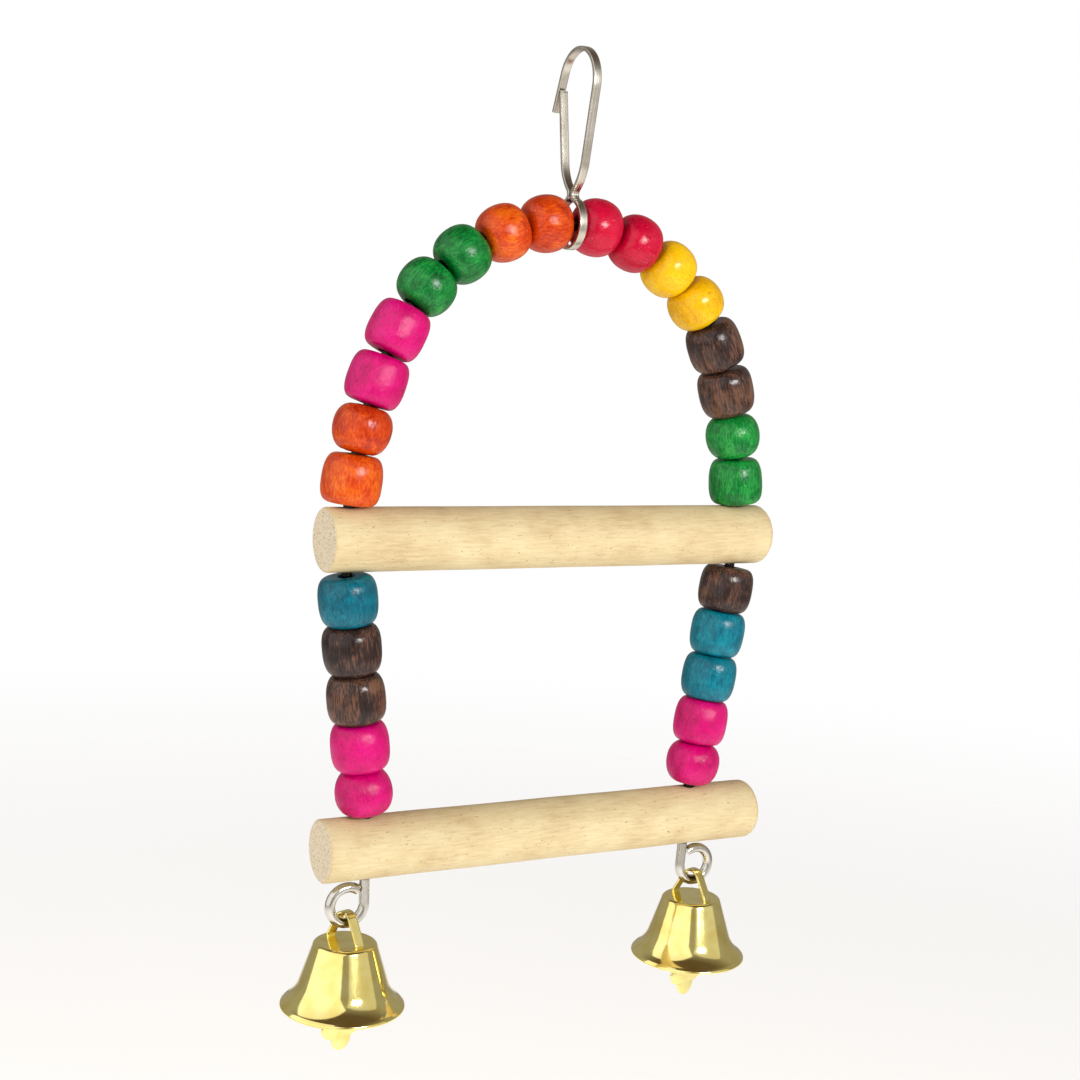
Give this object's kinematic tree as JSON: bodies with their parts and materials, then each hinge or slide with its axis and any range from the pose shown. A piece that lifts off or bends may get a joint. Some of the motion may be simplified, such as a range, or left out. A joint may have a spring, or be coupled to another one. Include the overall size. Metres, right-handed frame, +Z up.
{
  "type": "bird swing",
  "caption": "Hanging bird swing: a wire arch strung with coloured wooden beads holds dowel perches, with a spring clip at the top and a small bell under each foot.",
  "frame": {"origin": "axis of the cage bar's seat, in the middle of the clip's top bend", "axes": "+Z up along the hanging swing, +X along the perches to the right, -Y to the front"},
  "size_m": [0.1018, 0.0236, 0.1903],
  "materials": {
    "bare_wood": "sanded, unfinished",
    "orange_wood": "stained and lacquered",
    "pink_wood": "stained and lacquered",
    "green_wood": "stained and lacquered",
    "red_wood": "stained and lacquered",
    "yellow_wood": "stained and lacquered",
    "brown_wood": "stained and lacquered",
    "teal_wood": "stained and lacquered",
    "plated_wire": "drawn, nickel plated",
    "clip_steel": "nickel plated",
    "bell_brass": "polished"
  },
  "bodies": {
    "clip": {"clip_strip": "clip_steel"},
    "spring_leg": {"clip_spring_leg": "clip_steel"},
    "swing": {"arch_wire": "plated_wire", "upper_perch": "bare_wood", "lower_perch": "bare_wood"},
    "left_bell": {"left_bell_shell": "bell_brass", "left_bell_strap": "bell_brass"},
    "left_clapper": {"left_bell_clapper": "bell_brass"},
    "right_bell": {"right_bell_shell": "bell_brass", "right_bell_strap": "bell_brass"},
    "right_clapper": {"right_bell_clapper": "bell_brass"},
    "left_arch_bead_1": {"left_arch_bead_1": "orange_wood"},
    "left_arch_bead_2": {"left_arch_bead_2": "orange_wood"},
    "left_arch_bead_3": {"left_arch_bead_3": "green_wood"},
    "left_arch_bead_4": {"left_arch_bead_4": "green_wood"},
    "left_arch_bead_5": {"left_arch_bead_5": "pink_wood"},
    "left_arch_bead_6": {"left_arch_bead_6": "pink_wood"},
    "left_arch_bead_7": {"left_arch_bead_7": "orange_wood"},
    "left_arch_bead_8": {"left_arch_bead_8": "orange_wood"},
    "left_leg_bead_1": {"left_leg_bead_1": "teal_wood"},
    "left_leg_bead_2": {"left_leg_bead_2": "brown_wood"},
    "left_leg_bead_3": {"left_leg_bead_3": "brown_wood"},
    "left_leg_bead_4": {"left_leg_bead_4": "pink_wood"},
    "left_leg_bead_5": {"left_leg_bead_5": "pink_wood"},
    "right_arch_bead_1": {"right_arch_bead_1": "red_wood"},
    "right_arch_bead_2": {"right_arch_bead_2": "red_wood"},
    "right_arch_bead_3": {"right_arch_bead_3": "yellow_wood"},
    "right_arch_bead_4": {"right_arch_bead_4": "yellow_wood"},
    "right_arch_bead_5": {"right_arch_bead_5": "brown_wood"},
    "right_arch_bead_6": {"right_arch_bead_6": "brown_wood"},
    "right_arch_bead_7": {"right_arch_bead_7": "green_wood"},
    "right_arch_bead_8": {"right_arch_bead_8": "green_wood"},
    "right_leg_bead_1": {"right_leg_bead_1": "brown_wood"},
    "right_leg_bead_2": {"right_leg_bead_2": "teal_wood"},
    "right_leg_bead_3": {"right_leg_bead_3": "teal_wood"},
    "right_leg_bead_4": {"right_leg_bead_4": "pink_wood"},
    "right_leg_bead_5": {"right_leg_bead_5": "pink_wood"}
  },
  "joints": [
    {"name": "swing_hinge", "type": "hinge", "parent": "clip", "child": "swing", "pos_m": [0, 0, -0.0259], "axis": [1, 0, 0], "range_deg": [-90, 90]},
    {"name": "spring_leg_flex", "type": "hinge", "parent": "clip", "child": "spring_leg", "pos_m": [0, 0.0019, -0.02045], "axis": [1, 0, 0], "range_deg": [0, 12], "stiffness_Nm_per_rad": 0.001},
    {"name": "left_bell_swing", "type": "hinge", "parent": "swing", "child": "left_bell", "pos_m": [-0.03902, 0, -0.15852], "axis": [1, 0, 0], "range_deg": [-60, 60]},
    {"name": "left_clapper_swing", "type": "hinge", "parent": "left_bell", "child": "left_clapper", "pos_m": [-0.03902, 0, -0.16535], "axis": [-0.2756, 0.9613, 0], "range_deg": [-25, 25]},
    {"name": "right_bell_swing", "type": "hinge", "parent": "swing", "child": "right_bell", "pos_m": [0.03902, 0, -0.15852], "axis": [1, 0, 0], "range_deg": [-60, 60]},
    {"name": "right_clapper_swing", "type": "hinge", "parent": "right_bell", "child": "right_clapper", "pos_m": [0.03902, 0, -0.16535], "axis": [-0.2756, 0.9613, 0], "range_deg": [-25, 25]},
    {"name": "left_arch_bead_1_spin", "type": "hinge", "parent": "swing", "child": "left_arch_bead_1", "pos_m": [-0.0054, 0, -0.02628], "axis": [-0.9901, 0, -0.1403], "continuous": true},
    {"name": "left_arch_bead_2_spin", "type": "hinge", "parent": "swing", "child": "left_arch_bead_2", "pos_m": [-0.01431, 0, -0.02866], "axis": [-0.9284, 0, -0.3717], "continuous": true},
    {"name": "left_arch_bead_3_spin", "type": "hinge", "parent": "swing", "child": "left_arch_bead_3", "pos_m": [-0.02239, 0, -0.03308], "axis": [-0.8134, 0, -0.5817], "continuous": true},
    {"name": "left_arch_bead_4_spin", "type": "hinge", "parent": "swing", "child": "left_arch_bead_4", "pos_m": [-0.0292, 0, -0.0393], "axis": [-0.6518, 0, -0.7584], "continuous": true},
    {"name": "left_arch_bead_5_spin", "type": "hinge", "parent": "swing", "child": "left_arch_bead_5", "pos_m": [-0.03452, 0, -0.04735], "axis": [-0.4429, 0, -0.8966], "continuous": true},
    {"name": "left_arch_bead_6_spin", "type": "hinge", "parent": "swing", "child": "left_arch_bead_6", "pos_m": [-0.03815, 0, -0.0565], "axis": [-0.314, 0, -0.9494], "continuous": true},
    {"name": "left_arch_bead_7_spin", "type": "hinge", "parent": "swing", "child": "left_arch_bead_7", "pos_m": [-0.04059, 0, -0.06542], "axis": [-0.2127, 0, -0.9771], "continuous": true},
    {"name": "left_arch_bead_8_spin", "type": "hinge", "parent": "swing", "child": "left_arch_bead_8", "pos_m": [-0.04208, 0, -0.07455], "axis": [-0.109, 0, -0.994], "continuous": true},
    {"name": "left_leg_bead_1_spin", "type": "hinge", "parent": "swing", "child": "left_leg_bead_1", "pos_m": [-0.0417, 0, -0.09677], "axis": [0.134, 0, -0.991], "continuous": true},
    {"name": "left_leg_bead_2_spin", "type": "hinge", "parent": "swing", "child": "left_leg_bead_2", "pos_m": [-0.04046, 0, -0.10594], "axis": [0.134, 0, -0.991], "continuous": true},
    {"name": "left_leg_bead_3_spin", "type": "hinge", "parent": "swing", "child": "left_leg_bead_3", "pos_m": [-0.03922, 0, -0.1151], "axis": [0.134, 0, -0.991], "continuous": true},
    {"name": "left_leg_bead_4_spin", "type": "hinge", "parent": "swing", "child": "left_leg_bead_4", "pos_m": [-0.03798, 0, -0.12427], "axis": [0.134, 0, -0.991], "continuous": true},
    {"name": "left_leg_bead_5_spin", "type": "hinge", "parent": "swing", "child": "left_leg_bead_5", "pos_m": [-0.03678, 0, -0.13314], "axis": [0.134, 0, -0.991], "continuous": true},
    {"name": "right_arch_bead_1_spin", "type": "hinge", "parent": "swing", "child": "right_arch_bead_1", "pos_m": [0.0054, 0, -0.02628], "axis": [0.9901, 0, -0.1403], "continuous": true},
    {"name": "right_arch_bead_2_spin", "type": "hinge", "parent": "swing", "child": "right_arch_bead_2", "pos_m": [0.01431, 0, -0.02866], "axis": [0.9284, 0, -0.3717], "continuous": true},
    {"name": "right_arch_bead_3_spin", "type": "hinge", "parent": "swing", "child": "right_arch_bead_3", "pos_m": [0.02239, 0, -0.03308], "axis": [0.8134, 0, -0.5817], "continuous": true},
    {"name": "right_arch_bead_4_spin", "type": "hinge", "parent": "swing", "child": "right_arch_bead_4", "pos_m": [0.0292, 0, -0.0393], "axis": [0.6518, 0, -0.7584], "continuous": true},
    {"name": "right_arch_bead_5_spin", "type": "hinge", "parent": "swing", "child": "right_arch_bead_5", "pos_m": [0.03452, 0, -0.04735], "axis": [0.4429, 0, -0.8966], "continuous": true},
    {"name": "right_arch_bead_6_spin", "type": "hinge", "parent": "swing", "child": "right_arch_bead_6", "pos_m": [0.03815, 0, -0.0565], "axis": [0.314, 0, -0.9494], "continuous": true},
    {"name": "right_arch_bead_7_spin", "type": "hinge", "parent": "swing", "child": "right_arch_bead_7", "pos_m": [0.04059, 0, -0.06542], "axis": [0.2127, 0, -0.9771], "continuous": true},
    {"name": "right_arch_bead_8_spin", "type": "hinge", "parent": "swing", "child": "right_arch_bead_8", "pos_m": [0.04208, 0, -0.07455], "axis": [0.109, 0, -0.994], "continuous": true},
    {"name": "right_leg_bead_1_spin", "type": "hinge", "parent": "swing", "child": "right_leg_bead_1", "pos_m": [0.0417, 0, -0.09677], "axis": [-0.134, 0, -0.991], "continuous": true},
    {"name": "right_leg_bead_2_spin", "type": "hinge", "parent": "swing", "child": "right_leg_bead_2", "pos_m": [0.04046, 0, -0.10594], "axis": [-0.134, 0, -0.991], "continuous": true},
    {"name": "right_leg_bead_3_spin", "type": "hinge", "parent": "swing", "child": "right_leg_bead_3", "pos_m": [0.03922, 0, -0.1151], "axis": [-0.134, 0, -0.991], "continuous": true},
    {"name": "right_leg_bead_4_spin", "type": "hinge", "parent": "swing", "child": "right_leg_bead_4", "pos_m": [0.03798, 0, -0.12427], "axis": [-0.134, 0, -0.991], "continuous": true},
    {"name": "right_leg_bead_5_spin", "type": "hinge", "parent": "swing", "child": "right_leg_bead_5", "pos_m": [0.03678, 0, -0.13314], "axis": [-0.134, 0, -0.991], "continuous": true}
  ]
}
